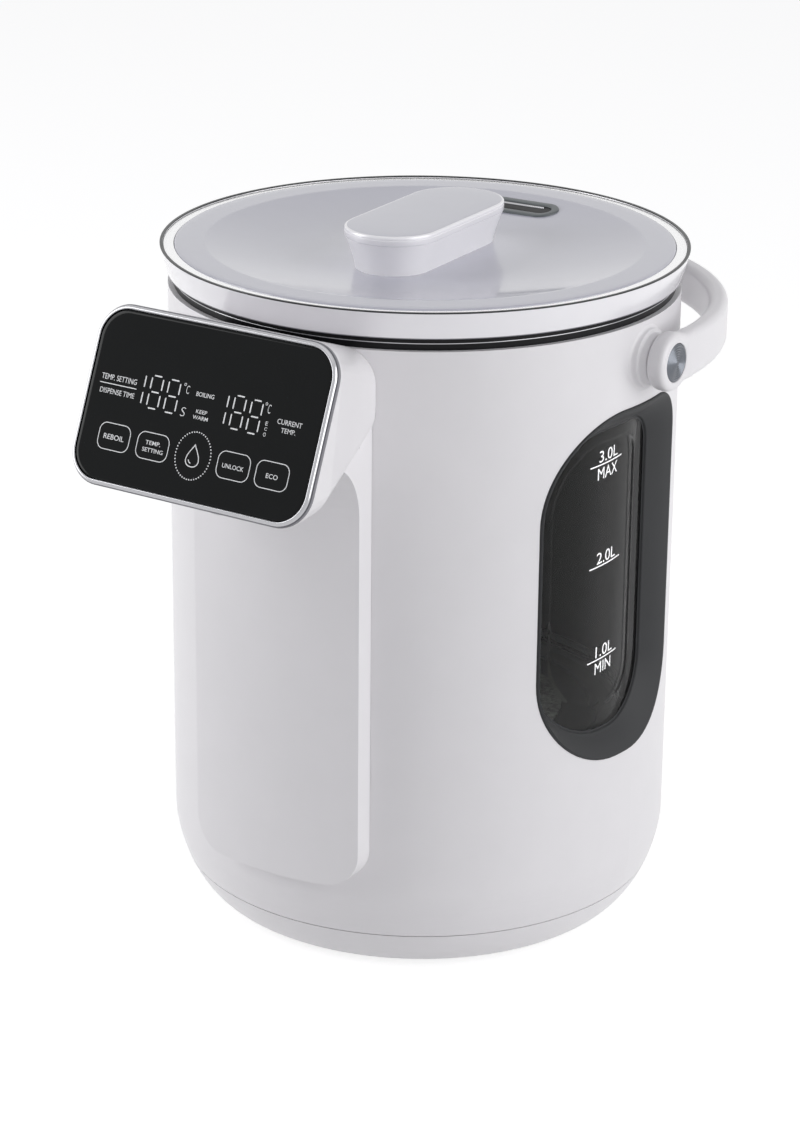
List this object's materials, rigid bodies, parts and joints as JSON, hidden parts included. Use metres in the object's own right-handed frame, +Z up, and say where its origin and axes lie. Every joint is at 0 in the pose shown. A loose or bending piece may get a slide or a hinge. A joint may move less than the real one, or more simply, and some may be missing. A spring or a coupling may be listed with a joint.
{
  "type": "electric thermo pot",
  "caption": "Round electric water boiler with a glass tank behind a side window, a touch panel over a front spout, a lift-off lid and a swinging carry handle.",
  "frame": {"origin": "on the table, on the axis of the round body, at the underside of the rubber feet", "axes": "+Z up along the body's axis, -Y towards the dispensing head, +X towards the side window"},
  "size_m": [0.2378, 0.2974, 0.2967],
  "materials": {
    "white_plastic": "glossy moulded shell",
    "grey_plastic": "satin moulded plastic",
    "lid_grey": "glossy lavender grey",
    "knob_silver": "glossy silver grey",
    "clear_ring": "clear plastic over a silver wall",
    "clear_glass": "clear",
    "panel_black": "black glass look",
    "bezel_chrome": "bright metal",
    "dark_plastic": "matt dark grey",
    "black_plastic": "matt black",
    "black_rubber": "matt",
    "clear_silicone": "milky",
    "steel": "plain",
    "aluminium": "cast",
    "board_green": "circuit board",
    "cable_grey": "flat cable",
    "light_insulator": "plain",
    "coil_yellow": "coil tape",
    "relay_blue": "plain",
    "wire_red": "insulation"
  },
  "bodies": {
    "pot": {"outer_shell": "white_plastic", "base_cover": "white_plastic", "front_housing": "white_plastic", "left_pivot_boss": "white_plastic", "right_pivot_boss": "white_plastic", "head_under_cover": "grey_plastic", "spout_nozzle": "grey_plastic", "inner_tank": "clear_glass", "window_pane": "clear_glass", "panel_glass": "panel_black", "display_module": "panel_black", "panel_bezel": "bezel_chrome", "window_frame": "dark_plastic", "deck_plate": "dark_plastic", "pump_bracket": "dark_plastic", "pump_housing": "dark_plastic", "tank_liner": "black_plastic", "top_collar": "black_plastic", "power_inlet": "black_plastic", "capacitors": "black_plastic", "rubber_feet": "black_rubber", "tank_seal": "black_rubber", "outlet_tube": "clear_silicone", "inlet_hose": "clear_silicone", "base_screws": "steel", "under_cover_screws": "steel", "touch_springs": "steel", "pump_motor": "steel", "tank_floor": "steel", "heater_plate": "steel", "temperature_probe": "steel", "outlet_filter": "steel", "left_pivot_screw": "steel", "right_pivot_screw": "steel", "inlet_pins": "steel", "heating_element": "aluminium", "control_board": "board_green", "power_board": "board_green", "ribbon_cable": "cable_grey", "thermal_cutout": "light_insulator", "terminal_block": "light_insulator", "transformer": "coil_yellow", "relay": "relay_blue", "inlet_wires": "wire_red"},
    "lid": {"lid_outer_ring": "clear_ring", "lid_trim_ring": "dark_plastic", "lid_panel": "lid_grey", "lid_body": "white_plastic", "lid_liner": "steel", "lid_seal": "clear_silicone", "rim_gasket": "black_rubber", "steam_vent": "dark_plastic", "knob_base": "white_plastic", "knob_cap": "knob_silver", "knob_screws": "steel"},
    "handle": {"carry_handle": "white_plastic", "left_pivot_cap": "bezel_chrome", "right_pivot_cap": "bezel_chrome"},
    "rotor": {"pump_rotor": "white_plastic"}
  },
  "joints": [
    {"name": "handle_swing", "type": "hinge", "parent": "pot", "child": "handle", "pos_m": [0, 0, 0.253], "axis": [1, 0, 0], "range_deg": [0, 160]},
    {"name": "lid_lift", "type": "slide", "parent": "pot", "child": "lid", "axis": [0, 0, 1], "range_m": [0, 0.06]},
    {"name": "pump_spin", "type": "hinge", "parent": "pot", "child": "rotor", "pos_m": [0, -0.0665, 0.05], "axis": [0, 0, 1], "continuous": true}
  ]
}
